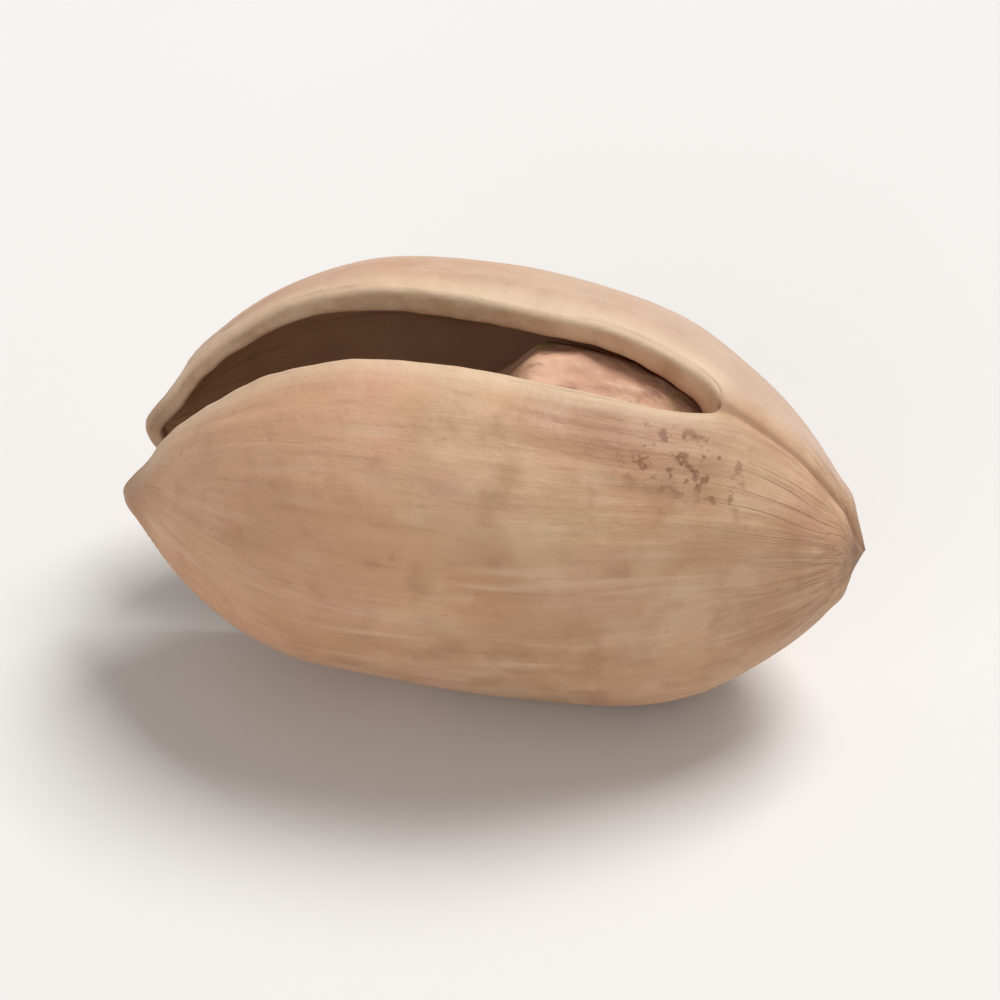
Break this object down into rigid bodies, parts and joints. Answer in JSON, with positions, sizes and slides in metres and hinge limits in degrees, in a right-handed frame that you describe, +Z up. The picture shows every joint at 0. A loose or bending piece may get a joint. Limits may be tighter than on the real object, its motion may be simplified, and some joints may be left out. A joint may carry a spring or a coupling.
{
  "type": "pistachio in shell",
  "caption": "Long oval nut in a pale woody shell, split open along its seams at the tip, with a loose skinned kernel inside.",
  "frame": {"origin": "centre of the bounding box's bottom, level with the small flat spot that the nut rests on", "axes": "+X along the nut towards its stem end, where the valves are joined; -X is the open tip. +Z up, towards the split. The seam between the valves lies in the XZ plane, and the valves part along Y"},
  "size_m": [0.0226, 0.0126, 0.0126],
  "materials": {
    "shell": "satin, cream-tan woody shell",
    "kernel": "matt, thin mauve-brown skin over a green seed"
  },
  "bodies": {
    "root": {"shell": "shell", "kernel": "kernel"}
  },
  "joints": []
}
